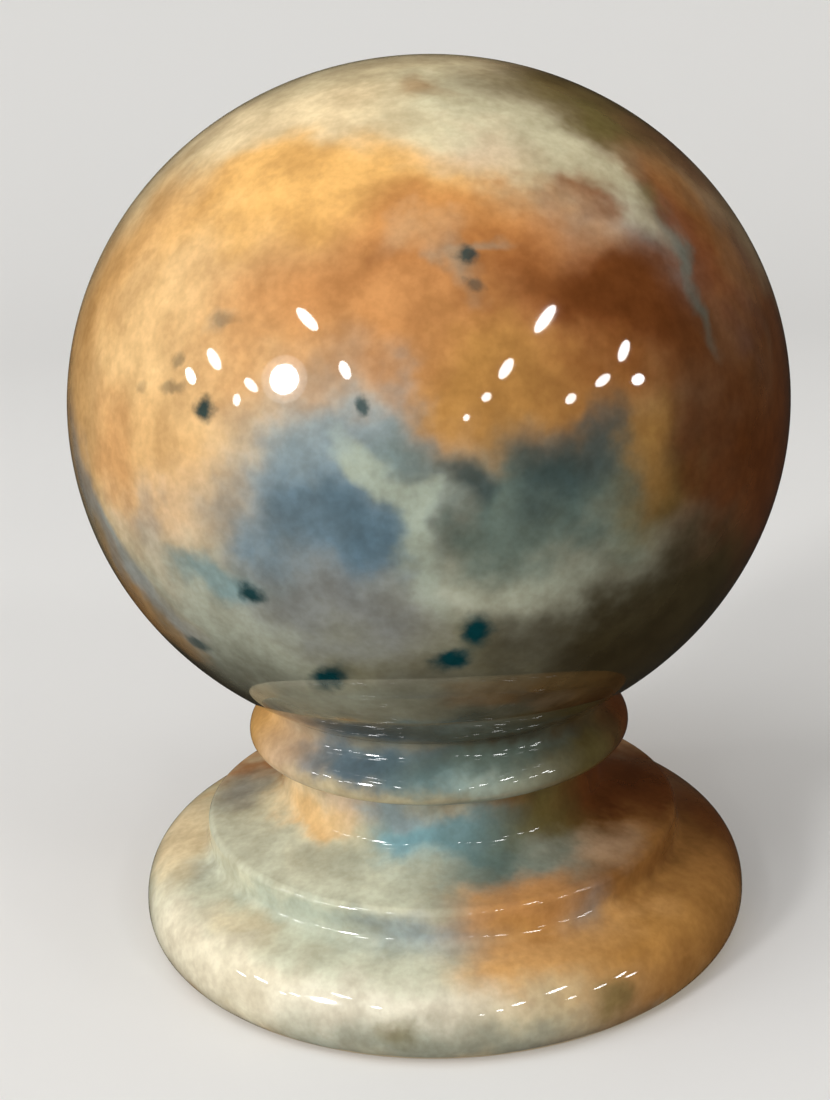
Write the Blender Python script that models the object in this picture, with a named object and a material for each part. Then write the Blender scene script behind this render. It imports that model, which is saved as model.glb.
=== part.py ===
"""A globe paperweight of glazed pottery: a slightly flattened ball on a waisted, stepped foot, all one piece.

The piece is turned about Z and stands on the ring under its foot, at z = 0. Its profile runs from
the top of the globe down the outside, under the foot and back to the axis. Profile points are pairs
of radius and height. The facing of a wall is the angle of its outward normal above level.
"""

from math import atan2, copysign, cos, degrees, dist, pi, radians, sin, tan

import bmesh
import bpy
from mathutils import Vector
from mathutils.geometry import interpolate_bezier

MM = 0.001

# Globe
GLOBE_DIAMETER = 72.8 * MM
GLOBE_HEIGHT = 69.0 * MM

# Collar under the globe, and the cove cut in above its edge
COLLAR_DIAMETER = 41.4 * MM
COLLAR_EDGE_RADIUS = 1.35 * MM
COVE_DEPTH = 2.4 * MM
COVE_RADIUS = 1.4 * MM
COVE_RISE = 3.6 * MM

# Neck, narrowest close under the collar and spreading towards the step
NECK_DEPTH = 4.0 * MM
NECK_SPREAD = 0.8 * MM
NECK_BASE_FACING = 16.0
NECK_BASE_RISE = 3.4 * MM
NECK_RISE = 7.2 * MM
COLLAR_RISE = 2.8 * MM

# Step that the neck stands on
STEP_INSET = 7.25 * MM
STEP_RISE = 2.9 * MM
STEP_EDGE_RADIUS = 0.8 * MM
STEP_TOP_FACING = 80.0
STEP_FILLET_RADIUS = 1.3 * MM

# Foot
FOOT_DIAMETER = 66.3 * MM
FOOT_HEIGHT = 8.5 * MM
FOOT_TOP_FACING = 78.0
FOOT_SHOULDER_WIDTH = 4.75 * MM
FOOT_FULLNESS = 2.25
FOOT_EDGE_HEIGHT = 2.9 * MM
FOOT_UNDERCUT = 2.5 * MM

# Underside
FOOT_RING_WIDTH = 6.5 * MM
RECESS_DEPTH = 1.5 * MM
RECESS_BANK = 1.2 * MM

# Fineness of the turned surface
SEGMENTS = 64
GLOBE_ROWS = 22
SMALL_CURVE_ROWS = 3
LARGE_CURVE_ROWS = 6
SHARP_EDGE = radians(50)
POLE_MERGE = 0.005 * MM

# Levels and radii that follow from the sizes above
STEP_LEVEL = FOOT_HEIGHT + STEP_RISE
NECK_LEVEL = STEP_LEVEL + NECK_RISE
COLLAR_LEVEL = NECK_LEVEL + COLLAR_RISE
COVE_LEVEL = COLLAR_LEVEL + COVE_RISE
GLOBE_RADIUS = GLOBE_DIAMETER / 2
GLOBE_HALF_HEIGHT = GLOBE_HEIGHT / 2
COLLAR_EDGE = COLLAR_DIAMETER / 2
COVE_WALL = COLLAR_EDGE - COVE_DEPTH
NECK_WALL = COLLAR_EDGE - NECK_DEPTH
FOOT_EDGE = FOOT_DIAMETER / 2
STEP_EDGE = FOOT_EDGE - STEP_INSET


def clear_objects():
    """Removes whatever objects the open file holds."""
    for old in list(bpy.data.objects):
        bpy.data.objects.remove(old)


def round_moulding(centre, radii, start, end, rows, fullness=2.0):
    """A convex round from turn start to turn end, as facings; fullness above 2 squares it."""
    points = []
    for row in range(rows + 1):
        turn = radians(start + (end - start) * row / rows)
        outwards = copysign(abs(cos(turn)) ** (2 / fullness), cos(turn))
        upwards = copysign(abs(sin(turn)) ** (2 / fullness), sin(turn))
        points.append((centre[0] + radii[0] * outwards, centre[1] + radii[1] * upwards))
    return points


def hollow_moulding(centre, radius, start, end, rows):
    """A concave arc whose wall turns from facing start to facing end."""
    turns = [radians(start + (end - start) * row / rows) for row in range(rows + 1)]
    return [(centre[0] - radius * cos(turn), centre[1] - radius * sin(turn)) for turn in turns]


def sweep(start, start_facing, start_pull, end, end_facing, end_pull, rows):
    """A free curve down the wall between two points, with the wall's facing at each end.

    A pull is the share of the straight distance over which the curve keeps that end's facing."""
    reach = dist(start, end)
    leaving = Vector((sin(radians(start_facing)), -cos(radians(start_facing))))
    arriving = Vector((sin(radians(end_facing)), -cos(radians(end_facing))))
    first, last = Vector(start), Vector(end)
    handle = first + leaving * start_pull * reach
    other_handle = last - arriving * end_pull * reach
    return [tuple(point) for point in interpolate_bezier(first, handle, other_handle, last, rows + 1)]


def globe_seat():
    """Where the cove meets the globe: the angle round the globe's section, and the globe's centre height.

    The cove's round is tangent to the globe from outside, so the angle is found by halving."""
    low, high = -pi / 2, 0.0
    for _ in range(50):
        angle = (low + high) / 2
        normal = Vector((GLOBE_HALF_HEIGHT * cos(angle), GLOBE_RADIUS * sin(angle))).normalized()
        if GLOBE_RADIUS * cos(angle) + COVE_RADIUS * normal.x < COVE_WALL + COVE_RADIUS:
            low = angle
        else:
            high = angle
    centre_height = COVE_LEVEL - GLOBE_HALF_HEIGHT * sin(angle) - COVE_RADIUS * normal.y
    return angle, centre_height


def globe_profile(seat_angle, centre_height):
    """The globe's side, from its top down to the cove."""
    points = []
    for row in range(GLOBE_ROWS + 1):
        angle = pi / 2 + (seat_angle - pi / 2) * row / GLOBE_ROWS
        points.append((GLOBE_RADIUS * cos(angle), centre_height + GLOBE_HALF_HEIGHT * sin(angle)))
    points[0] = (0.0, points[0][1])
    return points


def cove_profile(seat_angle):
    """The hollow under the globe, from where it leaves the globe to its deepest line."""
    facing = degrees(atan2(GLOBE_RADIUS * sin(seat_angle), GLOBE_HALF_HEIGHT * cos(seat_angle)))
    centre = (COVE_WALL + COVE_RADIUS, COVE_LEVEL)
    return hollow_moulding(centre, COVE_RADIUS, facing, 0, LARGE_CURVE_ROWS)


def collar_profile(cove_wall):
    """The collar: an S-shaped slope from the cove out to its widest line, and its round underside."""
    widest = (COLLAR_EDGE, COLLAR_LEVEL)
    slope = sweep(cove_wall, 0, 0.38, widest, 0, 0.48, LARGE_CURVE_ROWS + 2)
    centre = (COLLAR_EDGE - COLLAR_EDGE_RADIUS, COLLAR_LEVEL)
    radii = (COLLAR_EDGE_RADIUS, COLLAR_EDGE_RADIUS)
    return slope[1:] + round_moulding(centre, radii, 0, -80, SMALL_CURVE_ROWS + 1)[1:]


def neck_profile(collar_underside):
    """The neck, from under the collar to where it turns out into the step's top."""
    narrowest = (NECK_WALL, NECK_LEVEL)
    base = (NECK_WALL + NECK_SPREAD, STEP_LEVEL + NECK_BASE_RISE)
    under_collar = sweep(collar_underside, -80, 0.33, narrowest, 0, 0.2, SMALL_CURVE_ROWS)
    wall = sweep(narrowest, 0, 0.3, base, NECK_BASE_FACING, 0.3, SMALL_CURVE_ROWS)
    return under_collar[1:] + wall[1:]


def step_profile(neck_base):
    """The step: its hollow top, round edge and low riser, with the fillet at its foot."""
    edge_centre = (STEP_EDGE - STEP_EDGE_RADIUS, STEP_LEVEL)
    edge_radii = (STEP_EDGE_RADIUS, STEP_EDGE_RADIUS)
    edge = round_moulding(edge_centre, edge_radii, STEP_TOP_FACING, 0, SMALL_CURVE_ROWS)
    top = sweep(neck_base, NECK_BASE_FACING, 0.15, edge[0], STEP_TOP_FACING, 0.6, LARGE_CURVE_ROWS)
    fillet_centre = (STEP_EDGE + STEP_FILLET_RADIUS, FOOT_HEIGHT + STEP_FILLET_RADIUS)
    fillet = hollow_moulding(fillet_centre, STEP_FILLET_RADIUS, 0, FOOT_TOP_FACING, SMALL_CURVE_ROWS)
    return top[1:] + edge[1:] + fillet


def foot_profile(fillet_end):
    """The foot: its top falling outwards from the fillet, a full shoulder down to its widest line,
    and the undercut to the standing ring. The shoulder is as high as brings it up to the sloping top."""
    turn = radians(FOOT_TOP_FACING)
    shoulder_centre = (FOOT_EDGE - FOOT_SHOULDER_WIDTH, FOOT_EDGE_HEIGHT)
    shoulder_start = shoulder_centre[0] + FOOT_SHOULDER_WIDTH * cos(turn) ** (2 / FOOT_FULLNESS)
    start_level = fillet_end[1] - (shoulder_start - fillet_end[0]) / tan(turn)
    shoulder_rise = (start_level - FOOT_EDGE_HEIGHT) / sin(turn) ** (2 / FOOT_FULLNESS)
    shoulder_radii = (FOOT_SHOULDER_WIDTH, shoulder_rise)
    shoulder = round_moulding(
        shoulder_centre, shoulder_radii, FOOT_TOP_FACING, 0, LARGE_CURVE_ROWS + 2, FOOT_FULLNESS
    )
    undercut_centre = (FOOT_EDGE - FOOT_UNDERCUT, FOOT_EDGE_HEIGHT)
    undercut_radii = (FOOT_UNDERCUT, FOOT_EDGE_HEIGHT)
    undercut = round_moulding(undercut_centre, undercut_radii, 0, -90, SMALL_CURVE_ROWS + 1)
    return shoulder + undercut[1:]


def underside_profile():
    """The flat standing ring and the shallow recess inside it, back to the axis."""
    ring_inside = FOOT_EDGE - FOOT_UNDERCUT - FOOT_RING_WIDTH
    return [(ring_inside, 0.0), (ring_inside - RECESS_BANK, RECESS_DEPTH), (0.0, RECESS_DEPTH)]


def paperweight_profile():
    """The whole outline in one run of points."""
    seat_angle, centre_height = globe_seat()
    cove = cove_profile(seat_angle)
    collar = collar_profile(cove[-1])
    neck = neck_profile(collar[-1])
    step = step_profile(neck[-1])
    return (
        globe_profile(seat_angle, centre_height)
        + cove[1:]
        + collar
        + neck
        + step
        + foot_profile(step[-1])
        + underside_profile()
    )


def turned_mesh(name, profile):
    """Spins the profile once round Z into one closed mesh."""
    shape = bmesh.new()
    points = [shape.verts.new((radius, 0.0, height)) for radius, height in profile]
    line = [shape.edges.new(pair) for pair in zip(points, points[1:])]
    bmesh.ops.spin(
        shape,
        geom=points + line,
        cent=(0, 0, 0),
        axis=(0, 0, 1),
        angle=2 * pi,
        steps=SEGMENTS,
        use_merge=True,
    )
    bmesh.ops.remove_doubles(shape, verts=shape.verts, dist=POLE_MERGE)
    bmesh.ops.recalc_face_normals(shape, faces=shape.faces)
    mesh = bpy.data.meshes.new(name)
    shape.to_mesh(mesh)
    shape.free()
    mesh.shade_smooth()
    mesh.set_sharp_from_angle(angle=SHARP_EDGE)
    return mesh


def amber_glaze():
    """Glossy pottery glaze in the mean of its amber, celadon and blue-grey."""
    material = bpy.data.materials.new("mottled_glaze")
    material.use_nodes = True
    shader = material.node_tree.nodes["Principled BSDF"]
    shader.inputs["Base Color"].default_value = (0.42, 0.29, 0.16, 1.0)
    shader.inputs["Roughness"].default_value = 0.12
    shader.inputs["Metallic"].default_value = 0.0
    return material


def build():
    """Models the paperweight as one object."""
    clear_objects()
    mesh = turned_mesh("globe_paperweight", paperweight_profile())
    mesh.materials.append(amber_glaze())
    paperweight = bpy.data.objects.new("globe_paperweight", mesh)
    bpy.context.scene.collection.objects.link(paperweight)


build()
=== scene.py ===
from math import atan2, copysign, cos, degrees, dist, pi, radians, sin, tan

import bmesh
import bpy
from mathutils import Matrix, Vector, noise
from mathutils.geometry import interpolate_bezier


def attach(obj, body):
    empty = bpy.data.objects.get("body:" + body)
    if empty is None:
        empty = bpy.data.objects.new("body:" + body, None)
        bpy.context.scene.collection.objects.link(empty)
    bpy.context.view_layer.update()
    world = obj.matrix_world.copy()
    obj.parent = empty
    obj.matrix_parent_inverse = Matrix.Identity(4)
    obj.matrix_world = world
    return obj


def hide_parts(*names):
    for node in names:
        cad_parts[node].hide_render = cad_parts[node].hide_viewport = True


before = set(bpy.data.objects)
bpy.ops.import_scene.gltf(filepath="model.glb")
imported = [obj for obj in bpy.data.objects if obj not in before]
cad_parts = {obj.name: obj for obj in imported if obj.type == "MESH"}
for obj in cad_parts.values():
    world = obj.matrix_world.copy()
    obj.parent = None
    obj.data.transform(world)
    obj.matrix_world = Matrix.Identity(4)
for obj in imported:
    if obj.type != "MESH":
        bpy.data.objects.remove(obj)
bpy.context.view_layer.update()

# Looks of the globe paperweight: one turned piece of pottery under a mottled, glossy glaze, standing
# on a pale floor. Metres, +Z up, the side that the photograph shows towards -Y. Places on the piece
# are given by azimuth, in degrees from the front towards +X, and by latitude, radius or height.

MM = 0.001

# Sizes of the turned profile
GLOBE_RADIUS = 36.33 * MM
GLOBE_HALF_HEIGHT = 34.5 * MM
COLLAR_EDGE = 20.7 * MM
COLLAR_EDGE_RADIUS = 1.35 * MM
COVE_RADIUS = 1.4 * MM
COVE_WALL = COLLAR_EDGE - 2.4 * MM
NECK_WALL = COLLAR_EDGE - 4.0 * MM
NECK_BASE_FACING = 16.0
FOOT_EDGE = 33.15 * MM
FOOT_HEIGHT = 8.5 * MM
FOOT_TOP_FACING = 78.0
FOOT_SHOULDER_WIDTH = 4.75 * MM
FOOT_FULLNESS = 2.25
FOOT_EDGE_HEIGHT = 2.9 * MM
FOOT_UNDERCUT = 2.5 * MM
STEP_EDGE = FOOT_EDGE - 7.25 * MM
STEP_EDGE_RADIUS = 0.8 * MM
STEP_TOP_FACING = 80.0
STEP_FILLET_RADIUS = 1.3 * MM
STEP_LEVEL = FOOT_HEIGHT + 2.9 * MM
NECK_BASE = (NECK_WALL + 0.8 * MM, STEP_LEVEL + 3.4 * MM)
NECK_LEVEL = STEP_LEVEL + 7.2 * MM
COLLAR_LEVEL = NECK_LEVEL + 2.8 * MM
COVE_LEVEL = COLLAR_LEVEL + 3.6 * MM
FOOT_RING_WIDTH = 6.5 * MM
RECESS_DEPTH = 1.5 * MM
RECESS_BANK = 1.2 * MM

# How long each free curve of the profile holds its facing at its start and its end, as shares of its
# reach
SLOPE_PULLS = (0.38, 0.48)
UNDER_COLLAR_PULLS = (0.33, 0.2)
NECK_PULLS = (0.3, 0.3)
STEP_TOP_PULLS = (0.15, 0.6)
RECESS_BANK_PULLS = (0.1, 0.6)

# Facing in degrees at which the collar's underside runs into the neck
UNDERSIDE_END = -80.0

# Fineness of the turned surface
SEGMENTS = 288
GLOBE_ROWS = 132
FINE_ROWS = 14
WIDE_ROWS = 24
MERGE_DISTANCE = 0.002 * MM

# Unevenness left by finishing the clay by hand, and the height above the floor at which it is full
HAND_WORK_DEPTH = 0.02 * MM
HAND_WORK_SPAN = 9 * MM
HAND_WORK_HEIGHT = 4 * MM

# Camera of the photograph, by its distance and height from the middle of the foot
PHOTO_LONG_SIDE = 1100
FOCAL_PIXELS = 1400
CAMERA_DISTANCE = 143.5 * MM
CAMERA_HEIGHT = 81.35 * MM
CAMERA_YAW = radians(0.756)
CAMERA_DIP = radians(15.97)
CAMERA_ROLL = radians(-2.167)
SENSOR = 36.0


def round_moulding(centre, radii, start, end, rows, fullness=2.0):
    """A convex round from turn start to turn end, as facings; fullness above 2 squares it."""
    points = []
    for row in range(rows + 1):
        turn = radians(start + (end - start) * row / rows)
        outwards = copysign(abs(cos(turn)) ** (2 / fullness), cos(turn))
        upwards = copysign(abs(sin(turn)) ** (2 / fullness), sin(turn))
        points.append((centre[0] + radii[0] * outwards, centre[1] + radii[1] * upwards))
    return points


def hollow_moulding(centre, radius, start, end, rows):
    """A concave arc whose wall turns from facing start to facing end."""
    turns = [radians(start + (end - start) * row / rows) for row in range(rows + 1)]
    return [(centre[0] - radius * cos(turn), centre[1] - radius * sin(turn)) for turn in turns]


def sweep(start, start_facing, end, end_facing, pulls, rows):
    """A free curve down the wall between two points, with the wall's facing at each end."""
    reach = dist(start, end)
    leaving = Vector((sin(radians(start_facing)), -cos(radians(start_facing))))
    arriving = Vector((sin(radians(end_facing)), -cos(radians(end_facing))))
    first, last = Vector(start), Vector(end)
    handle = first + leaving * pulls[0] * reach
    other_handle = last - arriving * pulls[1] * reach
    return [tuple(point) for point in interpolate_bezier(first, handle, other_handle, last, rows + 1)]


def globe_seat():
    """The angle round the globe's section where the cove touches it, and the globe's centre height."""
    low, high = -pi / 2, 0.0
    for _ in range(50):
        angle = (low + high) / 2
        normal = Vector((GLOBE_HALF_HEIGHT * cos(angle), GLOBE_RADIUS * sin(angle))).normalized()
        if GLOBE_RADIUS * cos(angle) + COVE_RADIUS * normal.x < COVE_WALL + COVE_RADIUS:
            low = angle
        else:
            high = angle
    return angle, COVE_LEVEL - GLOBE_HALF_HEIGHT * sin(angle) - COVE_RADIUS * normal.y


SEAT_ANGLE, GLOBE_CENTRE = globe_seat()
GLOBE_SEAT_LEVEL = GLOBE_CENTRE + GLOBE_HALF_HEIGHT * sin(SEAT_ANGLE)


def globe_profile():
    """The globe's side, from its top down to the cove."""
    points = []
    for row in range(GLOBE_ROWS + 1):
        angle = pi / 2 + (SEAT_ANGLE - pi / 2) * row / GLOBE_ROWS
        points.append((GLOBE_RADIUS * cos(angle), GLOBE_CENTRE + GLOBE_HALF_HEIGHT * sin(angle)))
    points[0] = (0.0, points[0][1])
    return points


def collar_and_neck_profile():
    """The cove under the globe, the collar's S-shaped slope and round underside, and the neck."""
    facing = degrees(atan2(GLOBE_RADIUS * sin(SEAT_ANGLE), GLOBE_HALF_HEIGHT * cos(SEAT_ANGLE)))
    cove_centre = (COVE_WALL + COVE_RADIUS, COVE_LEVEL)
    cove = hollow_moulding(cove_centre, COVE_RADIUS, facing, 0, FINE_ROWS)
    slope = sweep(cove[-1], 0, (COLLAR_EDGE, COLLAR_LEVEL), 0, SLOPE_PULLS, WIDE_ROWS)
    collar_centre = (COLLAR_EDGE - COLLAR_EDGE_RADIUS, COLLAR_LEVEL)
    collar_radii = (COLLAR_EDGE_RADIUS, COLLAR_EDGE_RADIUS)
    underside = round_moulding(collar_centre, collar_radii, 0, UNDERSIDE_END, FINE_ROWS)
    narrowest = (NECK_WALL, NECK_LEVEL)
    under_collar = sweep(underside[-1], UNDERSIDE_END, narrowest, 0, UNDER_COLLAR_PULLS, FINE_ROWS)
    wall = sweep(narrowest, 0, NECK_BASE, NECK_BASE_FACING, NECK_PULLS, FINE_ROWS)
    return cove[1:] + slope[1:] + underside[1:] + under_collar[1:] + wall[1:]


def step_profile():
    """The step: its hollow top, round edge and low riser, with the fillet at its foot."""
    edge_centre = (STEP_EDGE - STEP_EDGE_RADIUS, STEP_LEVEL)
    edge_radii = (STEP_EDGE_RADIUS, STEP_EDGE_RADIUS)
    edge = round_moulding(edge_centre, edge_radii, STEP_TOP_FACING, 0, FINE_ROWS)
    top = sweep(NECK_BASE, NECK_BASE_FACING, edge[0], STEP_TOP_FACING, STEP_TOP_PULLS, WIDE_ROWS)
    fillet_centre = (STEP_EDGE + STEP_FILLET_RADIUS, FOOT_HEIGHT + STEP_FILLET_RADIUS)
    fillet = hollow_moulding(fillet_centre, STEP_FILLET_RADIUS, 0, FOOT_TOP_FACING, FINE_ROWS)
    return top[1:] + edge[1:] + fillet


def foot_profile(fillet_end):
    """The foot's sloping top and full shoulder, its undercut, the standing ring and its recess."""
    turn = radians(FOOT_TOP_FACING)
    shoulder_centre = (FOOT_EDGE - FOOT_SHOULDER_WIDTH, FOOT_EDGE_HEIGHT)
    shoulder_start = shoulder_centre[0] + FOOT_SHOULDER_WIDTH * cos(turn) ** (2 / FOOT_FULLNESS)
    start_level = fillet_end[1] - (shoulder_start - fillet_end[0]) / tan(turn)
    shoulder_rise = (start_level - FOOT_EDGE_HEIGHT) / sin(turn) ** (2 / FOOT_FULLNESS)
    shoulder_radii = (FOOT_SHOULDER_WIDTH, shoulder_rise)
    facings = (FOOT_TOP_FACING, 0)
    shoulder = round_moulding(shoulder_centre, shoulder_radii, *facings, WIDE_ROWS, FOOT_FULLNESS)
    undercut_centre = (FOOT_EDGE - FOOT_UNDERCUT, FOOT_EDGE_HEIGHT)
    undercut_radii = (FOOT_UNDERCUT, FOOT_EDGE_HEIGHT)
    undercut = round_moulding(undercut_centre, undercut_radii, 0, -90, FINE_ROWS)
    ring_inside = FOOT_EDGE - FOOT_UNDERCUT - FOOT_RING_WIDTH
    bank_foot = (ring_inside - RECESS_BANK, RECESS_DEPTH)
    bank = sweep((ring_inside, 0.0), -90, bank_foot, -90, RECESS_BANK_PULLS, FINE_ROWS)
    return shoulder + undercut[1:] + bank + [(0.0, RECESS_DEPTH)]


def hand_finish(shape):
    """Presses the surface in very slightly here and there, but not where the piece stands."""
    shape.normal_update()
    for point in shape.verts:
        standing = min(1.0, point.co.z / HAND_WORK_HEIGHT)
        swell = noise.noise(point.co / HAND_WORK_SPAN)
        point.co -= point.normal * HAND_WORK_DEPTH * standing * (0.5 + 0.5 * swell)


def spun_shape(profile, steps):
    """Spins a profile once round Z and closes the seam and the poles."""
    shape = bmesh.new()
    points = [shape.verts.new((radius, 0.0, height)) for radius, height in profile]
    line = points + [shape.edges.new(pair) for pair in zip(points, points[1:])]
    centre, axis = (0, 0, 0), (0, 0, 1)
    bmesh.ops.spin(shape, geom=line, cent=centre, axis=axis, angle=2 * pi, steps=steps, use_merge=True)
    bmesh.ops.remove_doubles(shape, verts=shape.verts, dist=MERGE_DISTANCE)
    return shape


def turned_piece(name, profile):
    """The paperweight's one piece: closed, smooth and very slightly uneven."""
    shape = spun_shape(profile, SEGMENTS)
    bmesh.ops.recalc_face_normals(shape, faces=shape.faces)
    hand_finish(shape)
    mesh = bpy.data.meshes.new(name)
    shape.to_mesh(mesh)
    shape.free()
    mesh.shade_smooth()
    piece = bpy.data.objects.new(name, mesh)
    bpy.context.scene.collection.objects.link(piece)
    return piece


# Glaze

def linear(*levels):
    """Screen levels 0 to 255 as a linear colour."""
    parts = [level / 255 for level in levels]
    return tuple(part / 12.92 if part <= 0.04045 else ((part + 0.055) / 1.055) ** 2.4 for part in parts)


GLAZES = {
    "cream": linear(230, 218, 190),
    "pale_cream": linear(218, 210, 188),
    "straw": linear(232, 208, 164),
    "beige": linear(206, 188, 148),
    "pale_honey": linear(234, 194, 136),
    "golden": linear(226, 174, 102),
    "honey": linear(208, 158, 98),
    "amber": linear(180, 130, 68),
    "brown_amber": linear(150, 104, 54),
    "orange": linear(204, 148, 92),
    "rust": linear(180, 116, 62),
    "chestnut": linear(124, 68, 28),
    "umber": linear(96, 52, 21),
    "dark_umber": linear(80, 43, 17),
    "olive": linear(104, 92, 50),
    "dark_olive": linear(60, 50, 28),
    "celadon": linear(200, 192, 158),
    "pale_celadon": linear(204, 204, 178),
    "grey_green": linear(146, 148, 130),
    "belt_grey": linear(174, 177, 158),
    "pale_green": linear(166, 174, 156),
    "teal_grey": linear(94, 111, 102),
    "dusky_teal": linear(56, 72, 72),
    "sea_blue": linear(112, 148, 154),
    "slate_blue": linear(100, 121, 132),
    "pale_blue": linear(140, 154, 156),
    "ink_blue": linear(84, 108, 121),
    "violet_grey": linear(126, 126, 122),
    "pink_grey": linear(204, 176, 146),
    "deep_teal": linear(6, 54, 58),
    "clay": linear(206, 186, 154),
}


class Value:
    """A number that varies over the surface; sums with it add Math nodes."""

    def __init__(self, finish, socket):
        self.finish = finish
        self.socket = socket

    def combine(self, operation, *terms):
        """The result of a new Math node."""
        return self.finish.number("ShaderNodeMath", {"operation": operation}, dict(enumerate(terms)), 0)

    def __add__(self, other):
        return self.combine("ADD", self, other)

    def __sub__(self, other):
        return self.combine("SUBTRACT", self, other)

    def __rsub__(self, other):
        return self.combine("SUBTRACT", other, self)

    def __mul__(self, other):
        return self.combine("MULTIPLY", self, other)

    __radd__ = __add__
    __rmul__ = __mul__


class Finish:
    """A material that is put together node by node."""

    def __init__(self, name):
        self.material = bpy.data.materials.new(name)
        self.material.use_nodes = True
        self.tree = self.material.node_tree
        self.shader = self.tree.nodes["Principled BSDF"]

    def node(self, kind, settings, inputs):
        """Adds a node: its settings first, then the values or links of its sockets."""
        node = self.tree.nodes.new(kind)
        for name, value in settings.items():
            setattr(node, name, value)
        sockets = {socket.identifier: socket for socket in node.inputs}
        for key, value in inputs.items():
            self.feed(node.inputs[key] if isinstance(key, int) else sockets[key], value)
        return node

    def feed(self, socket, value):
        """Links a socket to a value, or sets it."""
        if isinstance(value, Value):
            value = value.socket
        if isinstance(value, bpy.types.NodeSocket):
            self.tree.links.new(value, socket)
        elif socket.type == "RGBA":
            socket.default_value = (*value, 1.0)
        else:
            socket.default_value = value

    def number(self, kind, settings, inputs, output):
        """A new node's output as a value for expressions."""
        return Value(self, self.node(kind, settings, inputs).outputs[output])

    def vector(self, operation, first, second):
        """Vector Math on two vectors."""
        settings = {"operation": operation}
        return self.node("ShaderNodeVectorMath", settings, {0: first, 1: second}).outputs[0]

    def length(self, place):
        """The distance of a place from the origin."""
        return self.number("ShaderNodeVectorMath", {"operation": "LENGTH"}, {0: place}, "Value")

    def part(self, place, axis):
        """One of a place's X, Y and Z."""
        return self.number("ShaderNodeSeparateXYZ", {}, {0: place}, axis)

    def mix(self, first, second, share, blend="MIX"):
        """One colour over another by a share of 0 to 1."""
        settings = {"data_type": "RGBA", "blend_type": blend}
        inputs = {"Factor_Float": share, "A_Color": first, "B_Color": second}
        outputs = self.node("ShaderNodeMix", settings, inputs).outputs
        return next(socket for socket in outputs if socket.identifier == "Result_Color")

    def noise(self, place, grain, detail, roughness):
        """Cloudy noise with its grain in millimetres; about 0.5 on average."""
        inputs = {"Vector": place, "Scale": 1 / grain, "Detail": detail, "Roughness": roughness}
        return self.node("ShaderNodeTexNoise", {}, inputs)

    def cloud_noise(self, place, grain, detail, roughness):
        """Cloudy noise as a value."""
        return Value(self, self.noise(place, grain, detail, roughness).outputs["Fac"])

    def ramp(self, value, low, high):
        """A smooth rise from 0 at low to 1 at high."""
        settings = {"interpolation_type": "SMOOTHSTEP"}
        inputs = {"Value": value, "From Min": low, "From Max": high}
        return self.number("ShaderNodeMapRange", settings, inputs, 0)

    def patch(self, place, centre, turn, reach, softness):
        """1 inside an ellipsoid and 0 outside, with an edge as soft as a share of its reach."""
        rim = tuple(length * (1 + softness) for length in reach)
        inputs = {"Vector": place, "Location": centre, "Rotation": turn, "Scale": rim}
        local = self.node("ShaderNodeMapping", {"vector_type": "TEXTURE"}, inputs).outputs[0]
        ball = self.node("ShaderNodeTexGradient", {"gradient_type": "SPHERICAL"}, {"Vector": local})
        return self.ramp(Value(self, ball.outputs["Fac"]), 0.0, 2 * softness / (1 + softness))

    def clear_coat(self):
        """Gives the glaze its clear gloss over the coloured body."""
        self.shader.inputs["Specular IOR Level"].default_value = 0.0
        self.shader.inputs["Coat Roughness"].default_value = COAT_ROUGHNESS
        return self.material

    def warp(self, place, grain, push):
        """Places pushed about by noise, which makes the edges of patches ragged."""
        shifts = self.noise(place, grain, *WARP_NOISE).outputs["Color"]
        centred = self.vector("SUBTRACT", shifts, (0.5, 0.5, 0.5))
        return self.vector("ADD", place, self.vector("MULTIPLY", centred, (push, push, push)))


def direction(azimuth, elevation):
    """A level or raised direction: azimuth from the front towards +X, elevation above level."""
    turn, rise = radians(azimuth), radians(elevation)
    return Vector((cos(rise) * sin(turn), -cos(rise) * cos(turn), sin(rise)))


def surface_turn(azimuth, rise, tilt):
    """The turn of a patch that faces azimuth and looks up by rise: X runs round the piece, Y up it."""
    outward = direction(azimuth, rise)
    round_piece = Vector((cos(radians(azimuth)), sin(radians(azimuth)), 0.0))
    upward = outward.cross(round_piece)
    frame_turn = Matrix((round_piece, upward, outward)).transposed()
    return (frame_turn @ Matrix.Rotation(radians(tilt), 3, "Z")).to_euler("XYZ")


def globe_patch(azimuth, latitude, width, height, tilt):
    """A patch on the globe; width and height are degrees of arc either side of its middle."""
    outward = direction(azimuth, latitude)
    radii = (GLOBE_RADIUS, GLOBE_RADIUS, GLOBE_HALF_HEIGHT)
    on_globe = Vector([share * radius for share, radius in zip(outward, radii)])
    centre = Vector((0, 0, GLOBE_CENTRE)) + on_globe
    arc = radians(1) * GLOBE_RADIUS / MM
    depth = max(PATCH_LEAST_DEPTH, PATCH_DEPTH_SHARE * max(width, height) * arc)
    reach = (width * arc, height * arc, depth)
    return centre / MM, surface_turn(azimuth, latitude, tilt), reach


def foot_patch(azimuth, radius, height, reach):
    """A patch on the mouldings; reach is round the piece, up and outwards, in millimetres."""
    level = direction(azimuth, 0)
    return (level.x * radius, level.y * radius, height), surface_turn(azimuth, 0, 0), reach


# Gloss of the glaze, its clear coat and the bare clay
GLAZE_ROUGHNESS = 0.25
COAT_ROUGHNESS = 0.035
CLAY_ROUGHNESS = 0.7

# Where the glaze ends above the ring, and the bare recess inside it: heights and radius in millimetres
GLAZE_LINE = (1.1, 1.5)
GLAZE_LINE_WANDER = 0.9
RECESS_RADIUS = (24.6, 24.2)
RECESS_HEIGHT = (2.2, 2.0)

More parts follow.
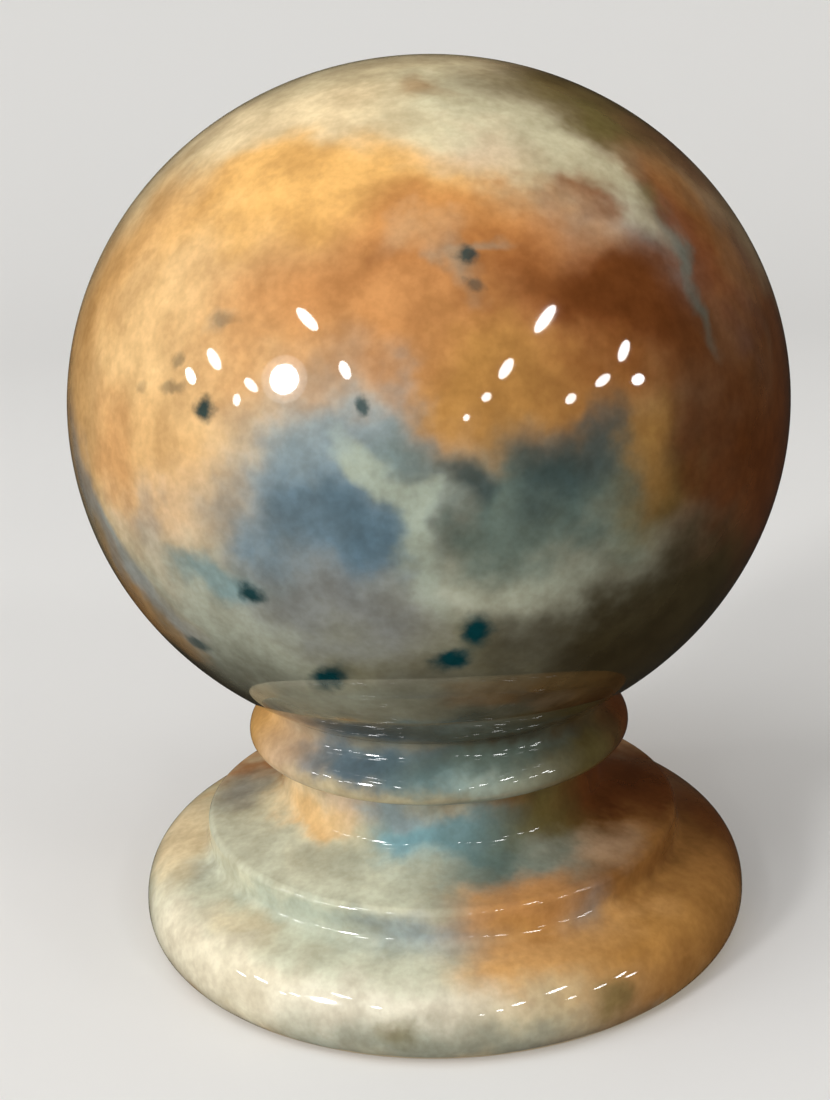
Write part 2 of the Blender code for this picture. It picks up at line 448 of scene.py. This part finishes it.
# Depth in millimetres that a patch on the globe has at least, and its depth as a share of its width
PATCH_LEAST_DEPTH = 3.0
PATCH_DEPTH_SHARE = 0.8

# Grain of the noise that pushes the patches' edges about, and how far it pushes, in millimetres
RAGGED_EDGE = (9.0, 14.0)
RUMPLED_EDGE = (4.0, 5.0)
NIBBLED_EDGE = (1.3, 1.6)
SPOT_SOFTNESS = 0.6

# Detail and roughness of the noise that pushes the edges about
WARP_NOISE = (4.0, 0.5)

# Noise for the broad clouds, the blotches, the fine grain and the specks: grain in millimetres, detail
# and roughness
WARM_CLOUDS = (38.0, 4.0, 0.55)
PALE_CLOUDS = (34.0, 4.0, 0.58)
COOL_CLOUDS = (30.0, 4.0, 0.58)
BLOTCHES = (4.0, 3.0, 0.55)
GRAIN = (0.8, 2.0, 0.6)
SPECKS = (5.5, 1.0, 0.5)

# How far back the dark specks begin and where they have their full strength, in millimetres, and the
# levels of the noise at their edges
SPECKED_BACK = (4.0, 16.0)
SPECK_EDGE = (0.735, 0.765)

# Shifts that give the pale and the cool clouds noise of their own
PALE_SHIFT = (37.0, 11.0, 23.0)
COOL_SHIFT = (5.0, 71.0, 43.0)

# Levels of the noise from which each glaze of the ground comes in, and at which it is full
HONEY_COMES_IN = (0.38, 0.56)
UMBER_COMES_IN = (0.42, 0.32)
CELADON_COMES_IN = (0.47, 0.57)
SLATE_COMES_IN = (0.52, 0.62)

# Levels of the noise between which the mottling turns from its darker to its lighter tint
MOTTLING_LEVELS = (0.3, 0.7)
BLOTCH_TINTS = ((0.84, 0.82, 0.80), (1.14, 1.15, 1.16))
GRAIN_TINTS = ((0.94, 0.93, 0.92), (1.05, 1.06, 1.07))

# Broad zones on the globe, some of them darker in part as painted shade: azimuth, latitude, half width
# and half height in degrees, tilt, softness, share and glaze
GLOBE_ZONES = [
    (-38, 22, 46, 36, 0, 0.4, 0.96, "pale_honey"),
    (-24, 45, 36, 10, -3, 0.6, 0.9, "golden"),
    (-62, 38, 16, 18, 0, 0.6, 0.7, "honey"),
    (-68, 16, 12, 28, 0, 0.6, 0.6, "amber"),
    (-42, 4, 14, 9, 0, 0.8, 0.5, "honey"),
    (-40, -8, 9, 7, 0, 0.8, 0.6, "pink_grey"),
    # Umber down the right side: partly the glaze's own brown, partly painted shade of the side away
    # from the light
    (80, -5, 33, 60, 0, 0.4, 0.97, "umber"),
    (-40, 68, 44, 13, 0, 0.45, 0.9, "beige"),
    (0, 73, 60, 16, 0, 0.45, 0.85, "beige"),
    (-34, 58, 26, 7, 0, 0.7, 0.85, "straw"),
    (24, 56, 17, 12, -8, 0.6, 0.95, "celadon"),
    # Umber and olive at the top right edge: partly glaze, partly painted shade where the top turns away
    # from the light
    (72, 54, 22, 20, 0, 0.6, 0.9, "umber"),
    (56, 60, 12, 12, 0, 0.6, 0.7, "olive"),
    (-12, 45, 14, 6, -4, 0.7, 0.8, "golden"),
    (4, 25, 30, 12, -4, 0.6, 0.9, "rust"),
    (-4, 22, 22, 8, 4, 0.7, 0.4, "orange"),
    (12, 37, 15, 5, 0, 0.7, 0.6, "rust"),
    (28, 24, 16, 8, -6, 0.7, 0.9, "chestnut"),
    (30, 23, 10, 6, -6, 0.7, 0.75, "umber"),
    (40, 8, 12, 20, 0, 0.6, 0.85, "umber"),
    (50, -4, 14, 24, 8, 0.7, 0.7, "dark_umber"),
    (50, 33, 6, 12, 8, 0.7, 0.85, "chestnut"),
    (56, 34, 4, 12, 10, 0.8, 0.25, "amber"),
    (8, 11, 12, 8, 0, 0.5, 0.95, "amber"),
    (20, 12, 7, 5, 0, 0.7, 0.6, "brown_amber"),
    (29, -6, 9, 13, 10, 0.6, 0.85, "olive"),
    (30, 2, 4, 6, 0, 0.8, 0.5, "amber"),
    (-6, -26, 46, 14, 0, 0.4, 0.95, "belt_grey"),
    # Grey-green and dark olive low on the globe: partly glaze, partly painted shade under the globe's
    # belly near the collar
    (-6, -46, 60, 16, 0, 0.5, 0.9, "grey_green"),
    (0, -66, 90, 22, 0, 0.5, 0.9, "dark_olive"),
    (58, -12, 22, 16, 0, 0.6, 0.9, "umber"),
    (36, -26, 22, 13, 0, 0.5, 0.95, "dark_olive"),
    (46, -44, 44, 20, 0, 0.5, 0.9, "dark_olive"),
    (-56, -26, 10, 8, 0, 0.6, 0.7, "amber"),
]

# Clouds and streaks over the zones, given in the same way
GLOBE_CLOUDS = [
    (-13, -2, 16, 15, 0, 0.55, 0.9, "pale_blue"),
    (-13, -4.5, 12, 11.5, 0, 0.6, 0.95, "slate_blue"),
    (-7.5, -5, 5, 6.5, 0, 0.8, 0.7, "ink_blue"),
    (-13, 7, 6, 4.5, 0, 0.8, 0.75, "pale_blue"),
    (-12, -19, 13, 6, 0, 0.7, 0.8, "violet_grey"),
    (-4, 9, 5.5, 6, -10, 0.6, 0.9, "pale_blue"),
    (-1.5, 6, 3.6, 6.5, 0, 0.7, 0.55, "teal_grey"),
    (13, -5.5, 13.5, 10, 3, 0.5, 0.96, "teal_grey"),
    (18, 0, 7.5, 6, 20, 0.7, 0.8, "dusky_teal"),
    (23.5, 6, 2.8, 5, -10, 0.7, 0.7, "dusky_teal"),
    (4, 0.5, 2.8, 4.5, 20, 0.7, 0.85, "dusky_teal"),
    (9, -16, 11, 5, 0, 0.8, 0.5, "pale_celadon"),
    (-0.5, -12, 2.8, 8, 6, 0.8, 0.75, "pale_green"),
    (-6, 4.0, 5.5, 1.5, -36, 0.8, 0.95, "pale_green"),
    (-1.5, -3, 1.6, 6, 14, 0.8, 0.95, "pale_green"),
    (-50, 3, 5.5, 7, 10, 0.7, 0.65, "orange"),
    (-61, -9, 4.5, 12, 22, 0.6, 0.75, "violet_grey"),
    (-50, -19, 2.6, 10, 38, 0.7, 0.65, "pale_blue"),
    (-41, -6, 2.4, 5, 0, 0.8, 0.35, "pale_blue"),
    (-31, -15, 6.5, 2.8, -8, 0.7, 0.7, "sea_blue"),
    (30.5, 40, 4.2, 2.4, -12, 0.8, 0.75, "chestnut"),
    (4, 61, 4.5, 3, -30, 0.8, 0.6, "brown_amber"),
    (36.5, 44, 3.6, 12, 20, 0.7, 0.8, "celadon"),
    (46, 54, 5.0, 4, 30, 0.7, 0.75, "olive"),
    (44, 38, 3.4, 3, 30, 0.7, 0.75, "olive"),
    (44.5, 26, 1.8, 7, 4, 0.8, 0.75, "teal_grey"),
    (13, 48, 8, 4, 0, 0.8, 0.6, "pink_grey"),
    (2, 34, 5, 2.2, 20, 0.8, 0.25, "celadon"),
    (7, 28, 2.2, 4.4, 8, 0.6, 0.5, "grey_green"),
    (11, 30.5, 2.6, 1.2, 0, 0.7, 0.4, "grey_green"),
    (-3, 32, 4, 2.0, 0, 0.8, 0.4, "chestnut"),
    (-29, 22, 2.6, 1.2, 0, 0.8, 0.35, "grey_green"),
    (3, -25.5, 6, 5, -40, 0.8, 0.5, "olive"),
    (-15, -30, 7, 3, 10, 0.8, 0.45, "olive"),
]

# Small dark spots: azimuth, latitude, half width and half height in degrees, tilt and share
GLOBE_SPOTS = [
    (5.8, -22, 2.0, 2.8, 0, 1.0),
    (2.2, -27.5, 2.6, 1.8, 20, 1.0),
    (-18, -32.5, 1.9, 3.9, -40, 1.0),
    (-26.3, -16.4, 1.9, 1.5, 0, 0.95),
    (6.5, 30.5, 1.3, 1.1, 0, 0.85),
    (7, 26.5, 1.0, 0.9, 0, 0.55),
    (-30.5, 10, 1.4, 1.6, 0, 0.95),
    (-8.3, 11, 0.9, 1.0, 0, 0.8),
    (-36, 16.3, 0.9, 1.1, -30, 0.45),
    (-36.5, 12.6, 1.9, 0.8, 0, 0.45),
    (-43, 12.2, 1.2, 0.7, 0, 0.25),
    (-29, 22.4, 2.2, 0.7, 0, 0.25),
    (-43.5, -29.5, 2.2, 1.3, 0, 0.7),
]

# Patches on the collar, neck, step and foot, two of them painted shade: azimuth, radius and height in
# millimetres, reach in millimetres round, up and outwards, softness, share and glaze
FOOT_ZONES = [
    (-50, 28, 8.0, (34, 8, 12), 0.3, 0.95, "pale_celadon"),
    (50, 28, 8.0, (30, 8, 12), 0.4, 0.95, "brown_amber"),
    (-50, 20, 14.5, (26, 5, 9), 0.3, 0.95, "celadon"),
    (52, 20, 14.5, (24, 5, 9), 0.4, 0.95, "umber"),
    (-30, 19.5, 24.0, (26, 6, 8), 0.3, 0.9, "grey_green"),
    (45, 19.5, 24.0, (24, 6, 8), 0.4, 0.95, "dark_olive"),
    (-78, 20.4, 22.6, (12, 5, 7), 0.5, 0.95, "golden"),
    (-48, 20.4, 22.6, (6, 4, 6), 0.8, 0.85, "pink_grey"),
    (-20, 20.2, 24.0, (11, 1.8, 4), 0.6, 0.9, "ink_blue"),
    (-22, 20.8, 22.2, (9, 0.9, 3), 0.8, 0.7, "slate_blue"),
    (-22, 20.8, 21.0, (15, 1.2, 3), 0.7, 0.8, "beige"),
    (2, 20.2, 22.8, (6, 2.2, 4), 0.8, 0.7, "teal_grey"),
    (8, 20.6, 22.4, (4, 1.0, 3), 0.8, 0.6, "sea_blue"),
    (20, 20.6, 22.0, (6, 1.6, 3), 0.8, 0.75, "pale_green"),
    (22, 19.6, 24.2, (7, 1.4, 4), 0.8, 0.7, "teal_grey"),
    (45, 20.5, 21.6, (8, 2, 4), 0.8, 0.6, "olive"),
    (92, 20.5, 22.5, (9, 6, 7), 0.5, 0.9, "umber"),
    (-88, 17.2, 17.6, (8, 3, 4), 0.5, 0.85, "amber"),
    (-10, 17.6, 19.4, (16, 1.2, 3), 0.7, 0.8, "grey_green"),
    (-34, 17.0, 17.2, (4, 2.2, 3), 0.8, 0.9, "pink_grey"),
    (-18, 17.0, 17.4, (3.4, 1.8, 3), 0.8, 0.8, "pale_blue"),
    (-60, 17.6, 15.6, (7, 2.4, 4), 0.6, 0.95, "straw"),
    (-52, 17.4, 15.4, (5, 1.4, 3), 0.8, 0.6, "golden"),
    (-45, 22.5, 12.8, (18, 2.0, 5), 0.5, 0.95, "pale_celadon"),
    (-90, 22.5, 12.8, (4, 1.8, 3.6), 0.8, 0.7, "violet_grey"),
    (-34, 20.5, 13.4, (8, 1.0, 2), 0.9, 0.4, "grey_green"),
    (4, 17.6, 15.4, (9, 2.6, 4), 0.6, 0.95, "sea_blue"),
    (-11, 17.9, 14.8, (3.4, 1.6, 3), 0.8, 0.8, "sea_blue"),
    (-15, 17.0, 17.2, (3.0, 0.9, 3), 0.8, 0.8, "pale_blue"),
    (8, 19.8, 13.6, (7, 1.4, 3), 0.8, 0.75, "sea_blue"),
    (20, 19.0, 14.2, (6, 2.4, 4), 0.8, 0.75, "teal_grey"),
    (-8, 22.0, 12.9, (6, 1.6, 4), 0.8, 0.85, "pale_celadon"),
    (5, 22.4, 12.6, (4, 1.6, 3), 0.8, 0.8, "grey_green"),
    (46, 17.6, 16.0, (8, 4, 5), 0.6, 0.9, "olive"),
    (80, 19.0, 15.5, (10, 6, 8), 0.5, 0.95, "umber"),
    (20, 21.0, 13.2, (6, 1.4, 2.4), 0.8, 0.7, "teal_grey"),
    (34, 21.6, 12.9, (5, 1.6, 3), 0.8, 0.75, "grey_green"),
    (56, 23.4, 12.4, (9, 2, 3.4), 0.7, 0.85, "brown_amber"),
    (48, 22.6, 12.8, (5, 1.2, 2.4), 0.9, 0.4, "pink_grey"),
    (90, 23.8, 12.0, (9, 5, 7), 0.5, 0.9, "umber"),
    (-70, 26.2, 9.9, (10, 2.2, 2.6), 0.6, 0.9, "pale_celadon"),
    # Pale green in the hollow at the step's foot: a darker tint painted as shade in the hollow
    (-32, 26.3, 9.8, (17, 2.0, 2.4), 0.6, 0.9, "pale_green"),
    (-5, 26.5, 9.7, (8, 2.0, 2.6), 0.7, 0.85, "pale_blue"),
    (-18, 26.6, 9.2, (6, 0.9, 2), 0.9, 0.5, "grey_green"),
    (32, 26.4, 9.6, (3.0, 2.0, 2.6), 0.8, 0.8, "violet_grey"),
    (62, 26.4, 9.9, (16, 2.2, 2.8), 0.6, 0.9, "brown_amber"),
    (64, 26.2, 10.2, (14, 1.2, 2), 0.8, 0.6, "umber"),
    (-88, 29.5, 8.0, (9, 2.6, 4.5), 0.6, 0.9, "straw"),
    (-45, 32.2, 5.6, (24, 4.0, 4.0), 0.6, 0.85, "cream"),
    (-8, 32.4, 5.4, (13, 4.0, 4.0), 0.6, 0.95, "pale_cream"),
    (-28, 28.8, 8.4, (15, 1.3, 2.6), 0.8, 0.8, "pale_celadon"),
    (-2, 29.2, 8.2, (5, 1.6, 3), 0.8, 0.7, "pale_celadon"),
    (-69, 27.8, 8.8, (2.8, 0.9, 1.8), 0.9, 0.35, "violet_grey"),
    (-46, 28.8, 8.4, (4.4, 1.2, 2.2), 0.8, 0.5, "straw"),
    (18, 24.8, 11.4, (5.6, 2.2, 2.8), 0.8, 0.9, "orange"),
    (16, 26.6, 9.8, (5.6, 1.8, 2.6), 0.9, 0.75, "amber"),
    (17, 29.4, 8.1, (7, 2.2, 3.6), 0.6, 0.95, "honey"),
    (20, 32.4, 4.6, (8, 2.6, 3.4), 0.8, 0.8, "beige"),
    (46, 30.6, 7.4, (13, 3.6, 4.6), 0.6, 0.9, "amber"),
    (40, 28.6, 8.6, (7, 1.0, 2), 0.9, 0.5, "honey"),
    (46, 33.0, 3.6, (14, 2.6, 3.4), 0.8, 0.8, "brown_amber"),
    (78, 30.4, 6.6, (14, 5, 6), 0.6, 0.9, "brown_amber"),
    (106, 30.0, 6.0, (16, 6, 7), 0.5, 0.9, "umber"),
    # Grey-green band low on the front of the foot: painted shade where the shoulder turns under
    (-2, 33.1, 2.4, (26, 2.0, 2.8), 0.9, 0.9, "grey_green"),
    (-8, 33.1, 3.8, (1.7, 1.3, 2), 0.9, 0.65, "olive"),
    (28, 33.0, 4.2, (1.8, 1.5, 2), 0.9, 0.65, "olive"),
]


def object_place(finish):
    """The place on the piece in millimetres."""
    coordinates = finish.node("ShaderNodeTexCoord", {}, {}).outputs["Object"]
    return finish.vector("MULTIPLY", coordinates, (1 / MM, 1 / MM, 1 / MM))


def ground_glaze(finish, place):
    """The clouds of warm, pale and cool glaze that the patches lie on, as they show at the back."""
    warm = finish.cloud_noise(place, *WARM_CLOUDS)
    colour = finish.mix(GLAZES["rust"], GLAZES["pale_honey"], finish.ramp(warm, *HONEY_COMES_IN))
    colour = finish.mix(colour, GLAZES["umber"], finish.ramp(warm, *UMBER_COMES_IN) * 0.9)
    pale = finish.cloud_noise(finish.vector("ADD", place, PALE_SHIFT), *PALE_CLOUDS)
    colour = finish.mix(colour, GLAZES["celadon"], finish.ramp(pale, *CELADON_COMES_IN) * 0.9)
    cool = finish.cloud_noise(finish.vector("ADD", place, COOL_SHIFT), *COOL_CLOUDS)
    return finish.mix(colour, GLAZES["slate_blue"], finish.ramp(cool, *SLATE_COMES_IN) * 0.8)


def fine_mottling(finish, place, blotches, colour):
    """Soft blotches and a fine grain over the whole glaze."""
    shade = finish.mix(*BLOTCH_TINTS, finish.ramp(blotches, *MOTTLING_LEVELS))
    colour = finish.mix(colour, shade, 1.0, "MULTIPLY")
    grain = finish.cloud_noise(place, *GRAIN)
    shade = finish.mix(*GRAIN_TINTS, finish.ramp(grain, *MOTTLING_LEVELS))
    return finish.mix(colour, shade, 1.0, "MULTIPLY")


def globe_glaze():
    """The globe's glossy glaze: broad zones, some darkened in part as painted shade, clouds and
    streaks, dark spots and fine mottling.
    """
    finish = Finish("globe_glaze")
    place = object_place(finish)
    ragged = finish.warp(place, *RAGGED_EDGE)
    nibbled = finish.warp(place, *NIBBLED_EDGE)
    colour = ground_glaze(finish, place)
    for azimuth, latitude, width, height, tilt, softness, share, glaze in GLOBE_ZONES + GLOBE_CLOUDS:
        zone = globe_patch(azimuth, latitude, width, height, tilt)
        mask = finish.patch(ragged, *zone, softness)
        colour = finish.mix(colour, GLAZES[glaze], mask * share)
    for azimuth, latitude, width, height, tilt, share in GLOBE_SPOTS:
        spot = globe_patch(azimuth, latitude, width, height, tilt)
        mask = finish.patch(nibbled, *spot, SPOT_SOFTNESS)
        colour = finish.mix(colour, GLAZES["deep_teal"], mask * share)

    back = finish.ramp(finish.part(place, "Y"), *SPECKED_BACK)
    specks = finish.ramp(finish.cloud_noise(nibbled, *SPECKS), *SPECK_EDGE)
    colour = finish.mix(colour, GLAZES["deep_teal"], specks * back)
    colour = fine_mottling(finish, place, finish.cloud_noise(place, *BLOTCHES), colour)
    finish.feed(finish.shader.inputs["Base Color"], colour)
    finish.shader.inputs["Roughness"].default_value = GLAZE_ROUGHNESS
    finish.shader.inputs["Coat Weight"].default_value = 1.0
    return finish.clear_coat()


def foot_glaze():
    """The glaze of the collar, neck, step and foot, with a little painted shade among its patches,
    which stops short of the bare clay underneath.
    """
    finish = Finish("foot_glaze")
    place = object_place(finish)
    rumpled = finish.warp(place, *RUMPLED_EDGE)
    colour = ground_glaze(finish, place)
    for azimuth, radius, height, reach, softness, share, glaze in FOOT_ZONES:
        mask = finish.patch(rumpled, *foot_patch(azimuth, radius, height, reach), softness)
        colour = finish.mix(colour, GLAZES[glaze], mask * share)
    blotches = finish.cloud_noise(place, *BLOTCHES)
    colour = fine_mottling(finish, place, blotches, colour)

    height = finish.part(place, "Z")
    glazed = finish.ramp(height + blotches * GLAZE_LINE_WANDER, *GLAZE_LINE)
    from_axis = finish.length(finish.vector("MULTIPLY", place, (1, 1, 0)))
    underneath = finish.ramp(from_axis, *RECESS_RADIUS) * finish.ramp(height, *RECESS_HEIGHT)
    glazed = glazed * (1 - underneath)
    finish.feed(finish.shader.inputs["Base Color"], finish.mix(GLAZES["clay"], colour, glazed))
    roughness = CLAY_ROUGHNESS - glazed * (CLAY_ROUGHNESS - GLAZE_ROUGHNESS)
    finish.feed(finish.shader.inputs["Roughness"], roughness)
    finish.feed(finish.shader.inputs["Coat Weight"], glazed)
    return finish.clear_coat()


upper_profile = globe_profile() + collar_and_neck_profile() + step_profile()
profile = upper_profile + foot_profile(upper_profile[-1])
paperweight = turned_piece("glazed_paperweight", profile)
paperweight.data.materials.append(globe_glaze())
paperweight.data.materials.append(foot_glaze())
for face in paperweight.data.polygons:
    face.material_index = int(face.center.z < GLOBE_SEAT_LEVEL)
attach(paperweight, "root")
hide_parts("globe_paperweight")

# Floor and backdrop, in metres
FLOOR_RADIUS = 0.5
COVE_SWEEP = 1.0
BACKDROP_HEIGHT = 2.2
FLOOR_SEGMENTS = 96
FLOOR_ROWS = 16
FLOOR_COLOUR = (0.82, 0.81, 0.79)
FLOOR_ROUGHNESS = 0.9

# Light of the surroundings, as it falls on the piece and as the glaze mirrors it
AIR_COLOUR = (1.0, 0.99, 0.97)
AIR_LIGHT = 0.36
MIRRORED_AIR_LIGHT = 0.015


def plain_material(name, colour, roughness):
    """An even matt finish for the floor."""
    material = bpy.data.materials.new(name)
    material.use_nodes = True
    shader = material.node_tree.nodes["Principled BSDF"]
    shader.inputs["Base Color"].default_value = (*colour, 1.0)
    shader.inputs["Roughness"].default_value = roughness
    return material


def pale_surround():
    """A pale floor that curves up into a round backdrop on every side."""
    out, up = FLOOR_RADIUS, COVE_SWEEP
    turns = [radians(-90 + 90 * row / FLOOR_ROWS) for row in range(FLOOR_ROWS + 1)]
    profile = [(0.0, 0.0)]
    profile += [(out + COVE_SWEEP * cos(turn), up + COVE_SWEEP * sin(turn)) for turn in turns]
    profile.append((FLOOR_RADIUS + COVE_SWEEP, BACKDROP_HEIGHT))
    shape = spun_shape(profile, FLOOR_SEGMENTS)
    mesh = bpy.data.meshes.new("pale_floor")
    shape.to_mesh(mesh)
    shape.free()
    mesh.shade_smooth()
    mesh.materials.append(plain_material("pale_paper", FLOOR_COLOUR, FLOOR_ROUGHNESS))
    floor = bpy.data.objects.new("pale_floor", mesh)
    bpy.context.scene.collection.objects.link(floor)
    floor.visible_glossy = False
    floor.visible_shadow = False
    floor.visible_diffuse = False


# How far off the small lamps stand, and the middle of the piece that every light faces
LAMP_DISTANCE = 2.4
AIM = Vector((0.0, 0.0, 45 * MM))


def area_light(name, azimuth, elevation, distance, size, power, tilt=0.0):
    """A round or oval light that faces the paperweight and stays out of the camera's sight."""
    lamp = bpy.data.lights.new(name, "AREA")
    lamp.shape = "ELLIPSE"
    lamp.size, lamp.size_y = size
    lamp.energy = power
    holder = bpy.data.objects.new(name, lamp)
    bpy.context.scene.collection.objects.link(holder)
    towards = direction(azimuth, elevation)
    holder.rotation_mode = "QUATERNION"
    turn = Matrix.Rotation(radians(tilt), 4, "Z").to_quaternion()
    holder.rotation_quaternion = towards.to_track_quat("Z", "Y") @ turn
    holder.location = AIM + towards * distance
    holder.visible_camera = False
    return holder


# Azimuth, elevation, width and height in degrees of view, tilt, and brightness of each small lamp
SMALL_LAMPS = {
    "round_left": (-44.1, 19.1, 8.6, 8.6, 0, 60),
    "round_left_glow": (-44.1, 19.1, 14.0, 14.0, 0, 2.4),
    "slanted_left": (-41.8, 37.0, 3.0, 9.4, 58, 28),
    "slanted_right": (41.7, 34.4, 3.0, 10.4, -55, 28),
    "left_near_middle": (-25.4, 23.7, 2.9, 6.0, 28, 26),
    "left_of_round": (-54.5, 15.9, 2.6, 5.4, 60, 24),
    "far_left_high": (-69.8, 20.1, 3.2, 7.4, 60, 24),
    "far_left_low": (-76.9, 14.0, 3.0, 5.4, 60, 24),
    "left_low": (-58.4, 11.1, 2.6, 3.4, 10, 22),
    "right_near_middle": (24.5, 22.3, 3.0, 7.0, -40, 26),
    "right_inner": (17.3, 14.5, 2.4, 3.2, -45, 24),
    "right_lowest": (10.9, 8.6, 1.8, 2.2, -30, 22),
    "right_low": (42.5, 10.8, 2.6, 3.8, -60, 22),
    "right_middle": (53.8, 13.9, 2.6, 5.6, -70, 24),
    "far_right_high": (63.7, 19.8, 3.0, 6.6, -50, 26),
    "far_right_low": (65.6, 11.5, 3.0, 4.6, -90, 26),
}


# Lamps that add a brighter mirror image without more light on the piece, and its brightness
GLINTS = ("round_left", "slanted_right")
GLINT = 150


def small_lamps():
    """The small lamps whose mirror images stand on the glaze."""
    for name, (azimuth, elevation, width, height, tilt, brightness) in SMALL_LAMPS.items():
        size = [2 * LAMP_DISTANCE * sin(radians(angle) / 2) for angle in (width, height)]
        area = pi * size[0] * size[1] / 4
        place = (azimuth, elevation, LAMP_DISTANCE, size)
        area_light(name, *place, brightness * pi * area, tilt)
        if name in GLINTS:
            glint = area_light(name + "_glint", *place, GLINT * pi * area, tilt)
            glint.visible_diffuse = False


# Azimuth, elevation and power in watts of the large soft lights
SOFT_LIGHTS = {"soft_left": (-56, 46, 9.4), "soft_right": (60, 40, 0.7), "soft_top": (-15, 78, 4.6)}
SOFT_DISTANCE = 1.8
SOFT_SIZE = (1.6, 1.6)


def soft_lights():
    """Large soft lights that fill the scene without a mirror image on the glaze."""
    for name, (azimuth, elevation, power) in SOFT_LIGHTS.items():
        light = area_light(name, azimuth, elevation, SOFT_DISTANCE, SOFT_SIZE, power)
        light.visible_glossy = False


def studio_air():
    """Even pale light from all round, dimmer where the glaze mirrors it."""
    world = bpy.data.worlds.new("studio_air")
    bpy.context.scene.world = world
    world.use_nodes = True
    nodes, links = world.node_tree.nodes, world.node_tree.links
    rays = nodes.new("ShaderNodeLightPath")
    strength = nodes.new("ShaderNodeMapRange")
    strength.inputs["To Min"].default_value = AIR_LIGHT
    strength.inputs["To Max"].default_value = MIRRORED_AIR_LIGHT
    links.new(rays.outputs["Is Glossy Ray"], strength.inputs["Value"])
    background = nodes["Background"]
    background.inputs["Color"].default_value = (*AIR_COLOUR, 1.0)
    links.new(strength.outputs[0], background.inputs["Strength"])


def photo_camera():
    """The photograph's camera: close, a little above the globe, and rolled slightly."""
    data = bpy.data.cameras.new("photo_camera")
    data.sensor_width = SENSOR
    data.lens = SENSOR * FOCAL_PIXELS / PHOTO_LONG_SIDE
    data.clip_start = 5 * MM
    data.clip_end = 20.0
    camera = bpy.data.objects.new("photo_camera", data)
    bpy.context.scene.collection.objects.link(camera)
    turn = Matrix.Rotation(CAMERA_YAW, 4, "Z") @ Matrix.Rotation(pi / 2 - CAMERA_DIP, 4, "X")
    turn = turn @ Matrix.Rotation(CAMERA_ROLL, 4, "Z")
    camera.matrix_world = Matrix.Translation((0.0, -CAMERA_DISTANCE, CAMERA_HEIGHT)) @ turn
    bpy.context.scene.camera = camera


pale_surround()
small_lamps()
soft_lights()
studio_air()
photo_camera()
bpy.context.scene.view_settings.view_transform = "Standard"
